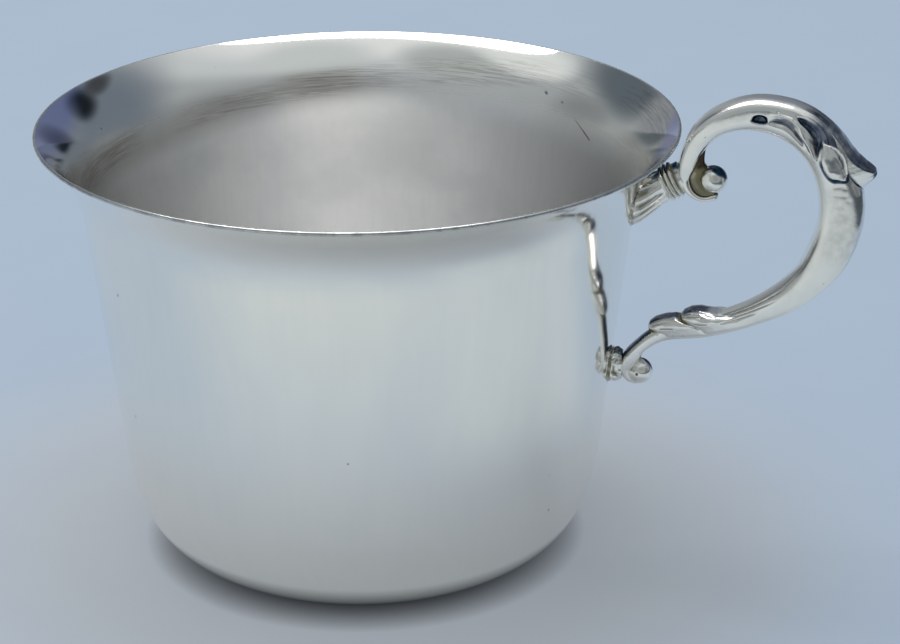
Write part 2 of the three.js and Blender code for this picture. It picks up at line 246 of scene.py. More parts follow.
NECK_RADIUS = RIM_RADIUS - FLARE_OUT
EDGE_HEIGHT = HEIGHT - LIP_EDGE
WALL_TOP = EDGE_HEIGHT - FLARE_HEIGHT
WALL_SLOPE = WALL_TAPER / (WALL_TOP - HEEL_HEIGHT)
BOWL_SIDES = 288
HEEL_STEPS = 30
WALL_STEPS = 70
BASE_STEPS = 12
BASE_CENTRE = 0.4  # radius of the innermost ring
LIP_ROUND = np.radians(np.linspace(-80, 80, 11))
EASE_PASSES = 160
EASE_LAST = 30  # points at the top of the profile that stay as they are


def wall_radius(z):
    up = max(0, (z - WALL_TOP) / FLARE_HEIGHT)
    straight = NECK_RADIUS + (z - WALL_TOP) * WALL_SLOPE
    return straight + (FLARE_OUT - FLARE_HEIGHT * WALL_SLOPE) * up ** FLARE_POWER


def outside_profile():
    """Points (radius, height) up the outside of the bowl, with the way out from the sheet."""
    lean = math.atan(WALL_SLOPE)
    centre = NECK_RADIUS - WALL_TAPER - HEEL_HEIGHT * math.cos(lean)
    profile = []
    for share in np.linspace(0, 1, HEEL_STEPS):
        angle = lerp(-math.pi / 2, -lean, share)
        out = np.array((math.cos(angle), math.sin(angle)))
        profile.append((np.array((centre, HEEL_HEIGHT)) + out * HEEL_HEIGHT, out))
    start = HEEL_HEIGHT * (1 - math.sin(lean))
    step = 0.01
    for share in np.linspace(0, 1, WALL_STEPS)[1:]:
        z = lerp(start, EDGE_HEIGHT, share)
        slope = (wall_radius(z) - wall_radius(z - step)) / step
        out = np.array((1, -slope)) / math.hypot(1, slope)
        profile.append((np.array((wall_radius(z), z)), out))
    return softened(profile)


def softened(profile):
    """The profile with the turn into the foot corner eased, as spinning leaves it."""
    eased = np.array([point for point, out in profile])
    for _ in range(EASE_PASSES):
        between = (eased[1:-EASE_LAST - 1] + eased[3:-EASE_LAST + 1]) / 2
        eased[2:-EASE_LAST] += 0.5 * (between - eased[2:-EASE_LAST])
    ahead = np.gradient(eased, axis=0)
    outs = unit(np.stack([ahead[:, 1], -ahead[:, 0]], 1))
    outs[-1] = profile[-1][1]
    return list(zip(eased, outs))


def bowl_rings():
    """The whole outline of the sheet, and where it changes from outside to lip to inside."""
    outside = outside_profile()
    flat = np.linspace(BASE_CENTRE, outside[0][0][0], BASE_STEPS)[:-1]
    base = [np.array((r, 0.0)) for r in flat]
    inside = []
    for at, out in outside:
        up = max(0, (at[1] - WALL_TOP) / FLARE_HEIGHT)
        inside.append(at - out * lerp(SHEET, LIP_EDGE, up))
    edge, out = outside[-1]
    along = np.array((-out[1], out[0]))
    half = LIP_EDGE / 2
    lip = [edge - out * half * (1 + math.sin(angle)) + along * half * math.cos(angle) for angle in LIP_ROUND]
    floor = [np.array((r, SHEET)) for r in flat]
    rings = base + [at for at, out in outside] + lip + inside[::-1] + floor[::-1]
    return rings, len(base) + len(outside), len(base) + len(outside) + len(lip)


def make_bowl(outer, lip, inner):
    rings, lip_from, inside_from = bowl_rings()
    round_ = turns(BOWL_SIDES)
    rows = [np.stack([r * np.cos(round_), r * np.sin(round_), np.full(BOWL_SIDES, z)], 1) for r, z in rings]
    points = np.vstack(rows + [[[0, 0, 0]], [[0, 0, SHEET]]])
    faces = skin(len(rings), BOWL_SIDES)
    ring_material = [0 if i < lip_from - 1 else 1 if i < inside_from else 2 for i in range(len(rings) - 1)]
    face_material = [m for m in ring_material for _ in range(BOWL_SIDES)] + [0, 2] * BOWL_SIDES
    piece = make_piece("spun_bowl", points, faces, (outer, lip, inner), face_material)
    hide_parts("bowl")
    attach(piece, "root")


# Scroll handle: the path of the band's middle, as in the solid model

BACK_X = RIM_RADIUS + LIP_CLEAR + BAND_BACK / 2 - BACK_TUCK
OUT_X = RIM_RADIUS + REACH
TOP_Z = HEIGHT + RISE
BOTTOM_Z = HEIGHT - BAND_DROP
UPPER_INNER = UPPER_BALL + SEAT + BAND_TIP / 2
LOWER_INNER = LOWER_BALL + SEAT + BAND_TIP / 2


def turn_about(eye, radius, degrees):
    angle = math.radians(degrees)
    return np.array((eye[0] + radius * math.cos(angle), 0, eye[2] + radius * math.sin(angle)))


def upper_turn(degrees):
    return turn_about(UPPER_EYE, UPPER_INNER + CURL_PITCH * (CURL_START - degrees) / 360, degrees)


def arch(out, down):
    return np.array((lerp(BACK_X, OUT_X, out), 0, lerp(TOP_Z, BOTTOM_Z, down)))


def bar(out, down):
    return np.array((lerp(LOWER_EYE[0], OUT_X, out), 0, lerp(TOP_Z, BOTTOM_Z, down)))


# Each stop: where the middle of the band is, its thickness in the plane and its width across it
STOPS = [
    (upper_turn(CURL_START - CURL_CUT), BAND_TIP * TIP_SWELL, WIDTH_END),
    (upper_turn(248), BAND_TIP, lerp(WIDTH_END, WIDTH_CURL, 0.5)),
    (upper_turn(215), lerp(BAND_TIP, BAND_BACK, 0.2), WIDTH_CURL),
    (upper_turn(180), lerp(BAND_TIP, BAND_BACK, 0.7), WIDTH_CURL),
    (upper_turn(150), lerp(BAND_BACK, BAND_RISE, 0.5), lerp(WIDTH_CURL, WIDTH_TOP, 0.25)),
    (arch(0.06, 0.145), BAND_RISE, lerp(WIDTH_CURL, WIDTH_TOP, 0.5)),
    (arch(0.195, 0.047), BAND_CREST, WIDTH_TOP),
    (arch(0.42, 0), BAND_TOP, WIDTH_TOP),
    (arch(0.69, 0.038), lerp(BAND_TOP, BAND_SIDE, 0.5), lerp(WIDTH_TOP, WIDTH_SIDE, 0.5)),
    (arch(0.895, 0.155), lerp(BAND_TOP, BAND_SIDE, 0.85), WIDTH_SIDE),
    (arch(1, 0.358), BAND_SIDE, WIDTH_SIDE),
    (arch(0.955, 0.57), BAND_SIDE, WIDTH_SIDE),
    (arch(0.79, 0.735), lerp(BAND_SIDE, BAND_UNDER, 0.5), lerp(WIDTH_SIDE, WIDTH_UNDER, 0.5)),
    (bar(0.605, 0.869), BAND_UNDER, WIDTH_UNDER),
    (bar(0.355, 0.951), BAND_GRIP, lerp(WIDTH_UNDER, WIDTH_NECK, 0.3)),
    (bar(0.11, 1), BAND_NECK, WIDTH_NECK),
    (turn_about(LOWER_EYE, 3.62, 88), 1.75, WIDTH_NECK),
    (turn_about(LOWER_EYE, 2.25, 118), 2.15, WIDTH_NECK),
    (turn_about(LOWER_EYE, 1.85, 170), 1.5, lerp(WIDTH_NECK, WIDTH_END, 0.3)),
    (turn_about(LOWER_EYE, 1.55, 215), 1.1, lerp(WIDTH_NECK, WIDTH_END, 0.6)),
    (turn_about(LOWER_EYE, 1.44, 255), 0.7, WIDTH_END),
]
LAST_STOP = len(STOPS) - 1


def station(along):
    """Middle, way out, thickness and width of the band, at places counted in stops."""
    places = [stop[0] for stop in STOPS]
    middle = curve_at(places, along)
    step = 1e-3
    ahead = unit(curve_at(places, np.clip(along + step, 0, LAST_STOP))
                 - curve_at(places, np.clip(along - step, 0, LAST_STOP)))
    out = np.stack([-ahead[:, 2], 0 * along, ahead[:, 0]], 1)
    size = curve_at([stop[1:] for stop in STOPS], along)
    return middle, out, size[:, 0], size[:, 1]


# Relief of the casting, drawn on the band: along it in stops, round it in degrees from its outer side

DEGREE = 0.043  # millimetres round the band for a degree
ACROSS = np.array((0, -1, 0))


class Skin:
    """The band's skin laid flat: x along and y round it, in millimetres, alike on both sides."""

    def __init__(self, along, angle):
        fine = np.linspace(0, LAST_STOP, 2001)
        middle = station(fine)[0]
        self.fine = fine
        self.length = np.concatenate([[0], np.cumsum(np.linalg.norm(np.diff(middle, axis=0), axis=1))])
        self.along = along
        self.angle = np.abs(angle)
        self.x, self.y = self.flat(along, self.angle)

    def flat(self, along, angle):
        return np.interp(along, self.fine, self.length), np.asarray(angle) * DEGREE

    def curve(self, stops, count):
        """A smooth line through (along, angle) points, laid flat."""
        points = curve_at(stops, np.linspace(0, len(stops) - 1, count))
        return self.flat(points[:, 0], points[:, 1])

    def line(self, stops, count=40):
        """Distance from a smooth line through (along, angle) points, and the share of its length."""
        px, py = self.curve(stops, count)
        nearest = np.full(self.x.shape, np.inf)
        share = np.zeros(self.x.shape)
        for i in range(count - 1):
            ax, ay, bx, by = px[i], py[i], px[i + 1], py[i + 1]
            span = (bx - ax) ** 2 + (by - ay) ** 2 + 1e-12
            t = np.clip(((self.x - ax) * (bx - ax) + (self.y - ay) * (by - ay)) / span, 0, 1)
            away = np.hypot(self.x - ax - t * (bx - ax), self.y - ay - t * (by - ay))
            closer = away < nearest
            nearest = np.where(closer, away, nearest)
            share = np.where(closer, (i + t) / (count - 1), share)
        return nearest, share

    def inside(self, stops, count=90):
        """How far inside a closed smooth outline each point lies, less than 0 outside it."""
        ring = list(stops) + [stops[0]]
        away, _ = self.line(ring, count)
        px, py = self.curve(ring, count)
        odd = np.zeros(self.x.shape, bool)
        for i in range(count - 1):
            above = (py[i] > self.y) != (py[i + 1] > self.y)
            slope = (px[i + 1] - px[i]) / (py[i + 1] - py[i] + 1e-12)
            odd ^= above & (self.x < px[i] + (self.y - py[i]) * slope)
        return np.where(odd, away, -away)

    def crease(self, stops, width, height, taper=0.25):
        """A ridge, or a groove where the height is less than 0, that fades out at both ends."""
        away, share = self.line(stops)
        ends = smooth(0, taper, share) * smooth(0, taper, 1 - share)
        return height * ends * np.exp(-(away / width) ** 2)

    def shade(self, stops, width, taper=0.25):
        """1 along a line, and 0 beside it and past its ends."""
        return smooth(0.1, 0.4, self.crease(stops, width, 0.5, taper))


# Side lobe of the leaf: a teardrop pad with a rolled rim, a hollow and a bright vein
SIDE_LOBE = [(8.64, 82), (8.77, 87), (8.9, 93), (9.04, 98), (9.19, 100), (9.32, 98), (9.43, 92), (9.5, 84),
             (9.52, 75), (9.47, 67), (9.37, 61), (9.26, 57), (9.12, 54), (8.98, 56), (8.87, 63), (8.76, 74)]
LOBE_RIM = [(8.7, 81), (8.8, 85), (8.92, 89), (9.06, 92), (9.2, 93), (9.32, 91), (9.41, 86)]
LOBE_HOLLOW = [(8.82, 73), (8.9, 64), (9.02, 59), (9.14, 58), (9.26, 62), (9.37, 67), (9.42, 74), (9.34, 77),
               (9.18, 76), (9.0, 75), (8.9, 76)]
LOBE_VEIN = [(9.0, 57), (9.12, 56), (9.22, 58.5), (9.34, 65), (9.43, 74)]
LEAF_CLEFT = [(8.75, 34), (8.9, 46), (9.03, 51), (9.14, 52), (9.26, 54.5), (9.38, 61), (9.48, 72), (9.52, 84)]
# Spoon, edge rib and channel beside it
SPOON = [(7.88, 62), (7.98, 54), (8.16, 50), (8.34, 52), (8.52, 61), (8.66, 74), (8.78, 88), (8.9, 100),
         (8.95, 107), (8.84, 106), (8.64, 98), (8.46, 91), (8.24, 84), (8.02, 77)]
SPOON_EDGE = [(7.9, 48), (8.06, 48), (8.22, 47), (8.38, 48), (8.52, 54), (8.66, 64), (8.78, 73)]
EDGE_RIB = [(7.36, 77), (7.68, 77), (7.86, 80), (8.05, 86), (8.2, 91), (8.37, 94), (8.58, 99), (8.84, 109),
            (9.0, 116)]
CHANNEL = [(7.3, 93), (7.5, 90), (7.74, 88), (7.95, 92), (8.14, 99), (8.35, 106), (8.62, 119)]
RIB_SHADE = [(8.0, 92), (8.2, 97), (8.46, 102), (8.8, 116)]
SLOT = (7.18, 94)
SLOT_HALF = (1.2, 0.44)  # along the band and round it, in millimetres
SLOPE_EDGE = [(7.85, 24), (8.04, 24), (8.22, 23), (8.42, 25), (8.6, 26)]
ARCH_EDGE = [(4.6, 50), (5.2, 48), (5.8, 46), (6.3, 46), (6.6, 50)]
# Pits and soft dents: place along the band, angle, size and depth
PITS = [(7.54, 71, 0.14, 0.1), (5.72, 92, 0.12, 0.06), (7.9, 63, 0.1, 0.05), (9.12, 68, 0.13, 0.1),
        (9.3, 74, 0.12, 0.1), (9.24, 63, 0.1, 0.08), (10.1, 88, 0.12, 0.06), (10.6, 64, 0.1, 0.05),
        (9.61, 89, 0.3, 0.04), (9.67, 79, 0.26, 0.03), (9.8, 84, 0.3, 0.035), (9.76, 95, 0.26, 0.03),
        (9.91, 76, 0.34, 0.03), (10.0, 90, 0.3, 0.03), (10.2, 81, 0.36, 0.025)]

# Leaf blade on the outer face, by place along the band: how high it stands, and where its face and
# its side wall end, in degrees
BLADE_LIFT = [(7.6, 0), (8.0, 0.12), (8.3, 0.2), (8.5, 0.25), (8.8, 0.36), (9.0, 0.42), (9.15, 0.52),
              (9.3, 0.86), (9.44, 1.47), (9.51, 1.92), (9.56, 2.24), (9.59, 2.3), (9.62, 2.26), (9.66, 1.98),
              (9.7, 1.42), (9.75, 0.78), (9.8, 0.1), (9.84, -0.4)]
BLADE_FACE = [(8.3, 31), (8.5, 38), (8.7, 43), (8.85, 46), (8.98, 48), (9.09, 50), (9.22, 51), (9.31, 49),
              (9.38, 44), (9.46, 34), (9.51, 24), (9.57, 9), (9.59, 4), (9.84, 2)]
BLADE_FOOT = [(8.3, 32), (8.85, 47.5), (9.09, 53), (9.22, 55), (9.31, 55), (9.45, 55), (9.51, 53), (9.57, 47),
              (9.63, 38), (9.7, 24), (9.77, 9), (9.84, 4)]
BLADE_SEAM = [(9.28, 57), (9.41, 56.5), (9.5, 54.5), (9.57, 48.5), (9.635, 40), (9.7, 26), (9.76, 12),
              (9.77, 0)]
BLADE_SPAN = (8.3, 9.3, 9.84)  # where the blade starts, where it lifts off and where it ends
BLADE_SUNK = 0.3  # how deep it starts, and how far its side walls go into the band
# The outer side of the band stands a little fuller on the crown and under the leaf
FULLER = [(4.9, 0), (5.4, 0.16), (5.8, 0.12), (6.3, 0.03), (6.9, 0.03), (7.4, 0.14), (7.8, 0.22), (8.3, 0.2),
          (8.6, 0.13), (9.0, 0), (9.6, 0), (9.85, 0.25), (10.1, 0.34), (10.4, 0.36), (10.7, 0.2),
          (11.0, 0.06), (11.8, 0), (12.5, 0.16), (13.1, 0)]
# Ridges and grooves: line, width, height, and the share of its length in which each end fades
LEAF_CREASES = [(LOBE_RIM, 0.22, 0.16, 0.25), (LOBE_VEIN, 0.12, 0.16, 0.25), (LEAF_CLEFT, 0.13, -0.4, 0.2),
                (BLADE_SEAM, 0.16, -0.14, 0.1), (SPOON_EDGE, 0.13, 0.16, 0.25), (SLOPE_EDGE, 0.14, 0.06, 0.3),
                (EDGE_RIB, 0.22, 0.34, 0.2), (CHANNEL, 0.28, -0.4, 0.3), (RIB_SHADE, 0.12, -0.14, 0.25)]
LOW_BLADE = 0.36  # the band itself rises with the blade up to this height
LOBE_RISE = (0.16, 0.5)  # at the lobe's root and at its end
HOLLOW_DEPTH = 0.22
SPOON_DEPTH = 0.46
SLOT_DEPTH = 0.6
# Strength of the painted shade and dark reflections on each form. It turns from slate to navy between 0.9 and
# 1.7.
PAINTED_SHADE = {"side": 0.3, "hollow": 0.7, "channel": 1.1, "scale": 1.3, "spoon": 1.4, "slot": 1.5, "line": 1.6,
          "under": 1.6, "pad": 1.6, "collar": 1.7, "bead": 2}


def by_place(table, along):
    return np.interp(along, [row[0] for row in table], [row[1] for row in table])


def leaf_relief(skin_):
    """Height of the leaf over the band, and its painted shade."""
    along, angle = skin_.along, skin_.angle
    lobe = skin_.inside(SIDE_LOBE)
    spoon = skin_.inside(SPOON)
    hollow = smooth(0.0, 0.3, skin_.inside(LOBE_HOLLOW))
    x, y = skin_.flat(*SLOT)
    off_slot = np.hypot((skin_.x - x) / SLOT_HALF[0], (skin_.y - y) / SLOT_HALF[1])
    low = np.clip(by_place(BLADE_LIFT, along), 0, LOW_BLADE) * smooth(9.3, 8.9, along)
    height = low * (1 - smooth(0, 1, angle / (by_place(BLADE_FACE, along) + 8)))
    height += by_place(FULLER, along) * (1 - smooth(40, 85, angle))
    height += lerp(*LOBE_RISE, smooth(8.66, 9.1, along)) * smooth(-0.06, 0.12, lobe)
    height += sum(skin_.crease(*crease) for crease in LEAF_CREASES)
    height -= HOLLOW_DEPTH * hollow
    height -= SPOON_DEPTH * smooth(-0.05, 0.42, spoon)
    height -= SLOT_DEPTH * smooth(1.0, 0.5, off_slot)
    return height, leaf_patina(skin_, lobe, spoon, hollow, off_slot)


def leaf_patina(skin_, lobe, spoon, hollow, off_slot):
    """Painted shade and dark reflections in blue-grey on the leaf's faces and lines, on the scale tops, and
    in the shade of the lower bar.
    """
    along, angle = skin_.along, skin_.angle
    under = smooth(-0.5, -0.18, lobe) * smooth(0.08, 0.0, lobe) * smooth(8.85, 9.15, along)
    lines = [skin_.shade(LEAF_CLEFT, 0.15), skin_.shade(BLADE_SEAM, 0.17, 0.1), under]
    channel = np.maximum(smooth(0.1, 0.36, skin_.crease(CHANNEL, 0.2, 0.4)), skin_.shade(RIB_SHADE, 0.14))
    reach = np.interp(along, (8.15, 8.5), (58, 82))
    slope = smooth(7.95, 8.5 - 0.2 * smooth(40, 10, angle), along) * smooth(9.2, 9.05, along)
    slope *= smooth(reach, reach - 10, angle) * smooth(0.08, -0.04, lobe)
    slope *= 0.85 + 0.45 * smooth(40, 55, angle)
    side = smooth(9.4, 9.8, along) * smooth(11.8, 10.8, along) * smooth(125, 100, angle)
    bar_under = smooth(122, 150, angle) * smooth(15.22, 15.3, along) * smooth(17.7, 17.3, along)
    scale = smooth(160, 172, angle) * smooth(13.8, 14.0, along)
    return np.maximum.reduce([
        slope, PAINTED_SHADE["spoon"] * smooth(0.0, 0.3, spoon) * smooth(0.14, 0.0, lobe), PAINTED_SHADE["side"] * side,
        PAINTED_SHADE["channel"] * channel, PAINTED_SHADE["hollow"] * hollow, PAINTED_SHADE["line"] * np.maximum.reduce(lines),
        PAINTED_SHADE["slot"] * smooth(1.0, 0.75, off_slot), PAINTED_SHADE["under"] * bar_under, PAINTED_SHADE["scale"] * scale])


def band_marks(skin_):
    """The fine edge on the arch, and pits and soft dents of the casting."""
    height = skin_.crease(ARCH_EDGE, 0.14, 0.05, 0.12)
    for along, angle, size, depth in PITS:
        x, y = skin_.flat(along, angle)
        height -= depth * np.exp(-((skin_.x - x) ** 2 + (skin_.y - y) ** 2) / size ** 2)
    return height


# Grip scales on the inner side of the lower bar: two overlapping scales with veins, and a flowing stem

SCALE_TOPS = [
    [(13.66, 0), (13.74, 0.12), (13.89, 0.75), (14.08, 1.3), (14.29, 1.5), (14.43, 1.3), (14.5, 0.9),
     (14.53, 0)],
    [(14.4, 0), (14.5, 0.55), (14.61, 1.0), (14.78, 1.15), (14.99, 1.2), (15.17, 1.05), (15.25, 0.75),
     (15.285, 0)],
]
SCALE_EDGES = (14.52, 15.27)
SCALE_SWEEPS = [(0, 0), (30, 0.02), (44, 0.12), (70, 0.3), (95, 0.46), (115, 0.6)]
SCALE_SIDES = [(0, 1), (28, 1), (55, 0.62), (80, 0.3), (100, 0.14), (118, 0)]
SCALE_VEINS = [[(15.2, 150), (14.95, 146), (14.7, 138)], [(15.0, 128), (14.8, 118), (14.6, 108)],
               [(14.45, 152), (14.2, 146), (13.95, 136)], [(14.3, 126), (14.1, 116), (13.9, 108)],
               [(14.38, 168), (14.15, 164), (13.9, 160)], [(15.15, 170), (14.9, 166), (14.65, 162)]]
STEM_LINES = [[(12.2, 128), (12.6, 133), (13.0, 137), (13.35, 139), (13.62, 142)],
              [(12.5, 105), (12.9, 112), (13.3, 118), (13.66, 122)],
              [(12.9, 96), (13.3, 100), (13.8, 104)]]
STEM_DEPTHS = (0.2, 0.09, 0.09)
SCALE_VOLUTE = [(13.74, 132), (13.82, 140), (13.9, 150), (13.96, 160)]


def scale_relief(skin_):
    """Height of the grip scales and the stem over the band, and the tarnish in their grooves."""
    along, inner = skin_.along, 180 - skin_.angle
    sweep = by_place(SCALE_SWEEPS, inner)
    sides = by_place(SCALE_SIDES, inner)
    height = np.zeros(along.shape)
    for tops in SCALE_TOPS:
        height = np.maximum(height, by_place(tops, along + sweep) * sides)
    veins = sum(skin_.crease(vein, 0.1, 0.11) for vein in SCALE_VEINS)
    lines = sum(skin_.crease(line, 0.15, depth) for line, depth in zip(STEM_LINES, STEM_DEPTHS))
    volute = skin_.crease(SCALE_VOLUTE, 0.26, 0.1)
    height -= veins + lines + volute
    edges = sum(np.exp(-((along + sweep - edge) / 0.05) ** 2) for edge in SCALE_EDGES) * sides
    tarnish = [0.3 * smooth(0.04, 0.1, volute), 0.7 * edges, 0.5 * smooth(0.03, 0.1, veins),
               0.4 * smooth(0.03, 0.1, lines)]
    return height, np.maximum.reduce(tarnish)


def band_angles(count):
    """Angles round the band, closer together on the sides, where the ornament is."""
    even = turns(count)
    return even + 0.2 * np.sin(2 * even)


def band_places():
    """Places along the band, closer together where there is ornament."""
    spans = [(0, 6.8, 85), (6.8, 8.3, 95), (8.3, 9.95, 190), (9.95, 13.5, 62), (13.5, 15.4, 125),
             (15.4, LAST_STOP, 62)]
    return np.concatenate([np.linspace(a, b, n, endpoint=False) for a, b, n in spans] + [[LAST_STOP]])


def band_points(along, theta, grow=0):
    """Points of the band's skin at angles from its outer side towards the front, grown by a distance."""
    middle, out, thick, wide = station(along)
    outwards, sideways = section(theta)
    points = middle + out * (outwards * thick / 2)[:, None] + ACROSS * (sideways * wide / 2)[:, None]
    way = unit(out * outwards[:, None] + ACROSS * sideways[:, None])
    return points + way * np.reshape(grow, (-1, 1)), out


def section(theta):
    """A rounded box, squarer on its outer side."""
    return squared(theta, np.where(np.cos(theta) > 0, SQUARE_OUTSIDE, SQUARE_INSIDE))


def band_shell():
    """Rows of points round the casting, with the tarnish and the painted shade on each."""
    columns = 150
    places = band_places()
    along = np.repeat(places, columns)
    theta = np.tile(band_angles(columns), len(places))
    angle = np.degrees((theta + np.pi) % (2 * np.pi) - np.pi)
    skin_ = Skin(along, angle)
    leaf, patina = leaf_relief(skin_)
    scales, scale_tarnish = scale_relief(skin_)
    points, _ = band_points(along, theta, leaf + scales + band_marks(skin_))
    curl = 0.8 * smooth(110, 160, np.abs(angle)) * smooth(4.6, 3.8, along)
    foot = 0.2 * smooth(90, 140, np.abs(angle)) * smooth(16.2, 17.2, along)
    tarnish = np.maximum.reduce([scale_tarnish, curl, foot])
    shape = (len(places), columns)
    return round_ends(points.reshape(*shape, 3), tarnish.reshape(shape), patina.reshape(shape))


# How far each end row stands past the end, as a share of half the tip's thickness
END_ROWS = (0.95, 0.8, 0.6, 0.35, 0.15)


def round_ends(grid, tarnish, patina):
    """The rows with a few more that round off both ends of the band."""
    before, after = [], []
    for past in END_ROWS:
        shrink = math.sqrt(1 - past * past)
        for rim, inward, rings in ((grid[0], grid[1], before), (grid[-1], grid[-2], after)):
            centre = rim.mean(axis=0)
            way = unit(centre - inward.mean(axis=0)) * BAND_TIP / 2
            rings.append(centre + (rim - centre) * shrink + way * past)
    rows = before + list(grid) + after[::-1]
    pad = ((len(before), len(after)), (0, 0))
    return rows, np.pad(tarnish, pad, "edge"), np.pad(patina, pad, "edge")


def blade_shell():
    """The leaf blade: a face that lifts off the band to a point, with side walls and a blunt front."""
    start, off, end = BLADE_SPAN
    places = np.concatenate([np.linspace(start, off, 30, endpoint=False), np.linspace(off, end, 46)])
    face = np.linspace(-1, 1, 27)
    wall = np.linspace(0, 1, 12)[1:]
    rows, patina = [], []
    for place in places:
        lift, edge, foot = (by_place(table, place) for table in (BLADE_LIFT, BLADE_FACE, BLADE_FOOT))
        lift -= BLADE_SUNK * smooth(8.7, start, place)
        side = edge + (foot - edge) * wall ** 0.8
        angles = np.concatenate([-side[::-1], face * edge, side])
        fall = np.concatenate([wall[::-1], 0.04 * np.abs(face) ** 6, wall])
        height = lerp(lift, min(-BLADE_SUNK, lift - BLADE_SUNK), fall)
        skin_points, out = band_points(np.full(len(angles), place), np.radians(angles))
        rows.append(skin_points + out * height[:, None])
        # Painted shade and dark reflection: the blade's face is painted slate to navy, darker towards its
        # tip, with a painted dark seam at the foot of its walls.
        seam = PAINTED_SHADE["line"] * smooth(0.8, 1, fall) * smooth(9.0, off, place)
        dusk = 0.85 + 0.45 * smooth(9.0, 9.35, place)
        patina.append(np.maximum((1 - smooth(0.05, 0.2, fall)) * dusk, seam))
    return rows, np.zeros((len(rows), len(rows[0]))), np.array(patina)


# Web: the recessed floor between the upper curl and its ball, by place along the band and where it ends
# beside the ball, in millimetres from the ball's middle
WEB_EDGE = [(0.0, 0.3, -0.9), (1.5, 0.0, -0.6), (2.6, -0.6, 0.3), (3.2, -0.55, 1.5), (3.6, -0.95, 2.1),
            (4.0, -1.0, 2.9), (4.3, -0.88, 4.1)]
WEB_DEPTH = [(0, 0.9), (0.2, 0.62), (0.6, 0.5), (1, 0.42)]


def web_shell():
    places = np.linspace(0.05, 4.3, 60)
    edge = curve_at([(x, 0, z) for _, x, z in WEB_EDGE], np.interp(places, [row[0] for row in WEB_EDGE],
                                                                   np.arange(len(WEB_EDGE))))
    middle = station(places)[0]
    share = np.linspace(0, 1, 12)
    half = by_place(WEB_DEPTH, share)
    rows = []
    for start, end in zip(middle, edge + UPPER_EYE):
        line = lerp(start[None], end[None], share[:, None])
        rows.append(np.vstack([line + ACROSS * half[:, None], (line - ACROSS * half[:, None])[::-1]]))
    across = np.concatenate([share, share[::-1]])
    tarnish = 0.4 + 0.55 * smooth(0.4, 0.75, across) + 0.4 * smooth(3.0, 4.2, places)[:, None]
    return rows, tarnish, np.zeros(tarnish.shape)


def make_handle(material):
    points, faces, tarnish, patina = [], [], [], []
    for rows, dark, blue in (band_shell(), blade_shell(), web_shell()):
        start = sum(len(part) for part in points)
        points.append(capped(rows))
        faces += [tuple(start + corner for corner in face) for face in skin(len(rows), len(rows[0]))]
        for layer, values in ((tarnish, dark), (patina, blue)):
            layer.append(np.append(values, [values[0, 0], values[-1, 0]]))
    piece = make_piece("cast_scroll", np.vstack(points), faces, (material,),
                       tarnish=np.concatenate(tarnish), patina=np.concatenate(patina))
    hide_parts("scroll_handle")
    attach(piece, "root")


# Balls at the ends of the scroll, with the dents of the casting

def noise_at(points, size, seed):
    """Smooth seeded noise from about -1 to 1 at each point."""
    shift = Vector((seed, 7.3 * seed, -3.1 * seed))
    return np.array([noise.noise(Vector(point) / size + shift) for point in points])


def make_ball(name, node, radius, shift, dent, dusk, material):
    """shift is how far the ball sits off its node, and dusk the way that its side painted blue-black faces,
    as painted shade and dark reflection.
    """
    shape = bmesh.new()
    bmesh.ops.create_icosphere(shape, subdivisions=6, radius=1)
    ways = unit(np.array([vertex.co[:] for vertex in shape.verts]))
    faces = [[vertex.index for vertex in face.verts] for face in shape.faces]
    shape.free()
    way, wide, deep = dent
    near = np.exp(-((1 - ways @ unit(way)) / wide) ** 1.5)
    swell = 0.02 * noise_at(ways, 0.55, 1) - deep * near
    points = middle_mm(node) + shift + ways * (radius * (1 + swell))[:, None]
    # Painted shade: the side of the ball facing dusk is painted blue-black.
    dark = PAINTED_SHADE["bead"] * smooth(0.5, 0.72, ways @ unit(dusk))
    piece = make_piece(name, points, faces, (material,), tarnish=near * min(1, deep * 12), patina=dark)
    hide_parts(node)
    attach(piece, "root")


# Leaf bracket: a fluted fan on the wall that draws in to a ribbed collar against the scroll

BRACKET_ROOT_DROP = 8.9
BRACKET_END_DROP = 5.5
ROOT_HALF_HEIGHT = 3.3
ROOT_HALF_WIDTH = 2.9
WAIST_HALF = 1.85
COLLAR_HALF = 2.25
FLUTES = 13
FLUTE_DEPTH = 0.22
COLLAR_RAISE = 0.25
RIB_PLACES = (0.645, 0.73, 0.815)
RIB_WIDE = 0.026
ROOT_PROUD = 0.05  # how far a root stands off the wall
ROOT_SIDES = 160
BRACKET_REACH = 0.97  # share of the way to the scroll
BRACKET_ROWS = 72

ROOT_HEIGHT = HEIGHT - BRACKET_ROOT_DROP
BRACKET_ROOT = np.array((wall_radius(ROOT_HEIGHT), 0, ROOT_HEIGHT))
BRACKET_END = np.array((BACK_X, 0, HEIGHT - BRACKET_END_DROP))
# Each stop: way along from the wall, half height and half width between waist and root, depth of the flutes
BRACKET_SHARES = [(0.0, 1, 1, 0.8), (0.12, 0.9, 0.95, 1), (0.27, 0.5, 0.62, 1), (0.45, 0.12, 0.22, 0.7),
                  (0.58, 0, 0, 0.25)]
BRACKET_STOPS = np.array(
    [(along, lerp(WAIST_HALF, ROOT_HALF_HEIGHT, high), lerp(WAIST_HALF, ROOT_HALF_WIDTH, wide), depth)
     for along, high, wide, depth in BRACKET_SHARES] + [(1, WAIST_HALF, WIDTH_CURL / 2, 0)])


def on_wall(points, proud=0):
    """Points moved along X onto the outside of the wall, and proud of it."""
    moved = points.copy()
    radius = np.array([wall_radius(z) for z in moved[:, 2]]) + proud
    moved[:, 0] = np.sqrt(radius ** 2 - moved[:, 1] ** 2)
    return moved


def ribs_at(along):
    return sum(math.exp(-((along - place) / RIB_WIDE) ** 4) for place in RIB_PLACES)


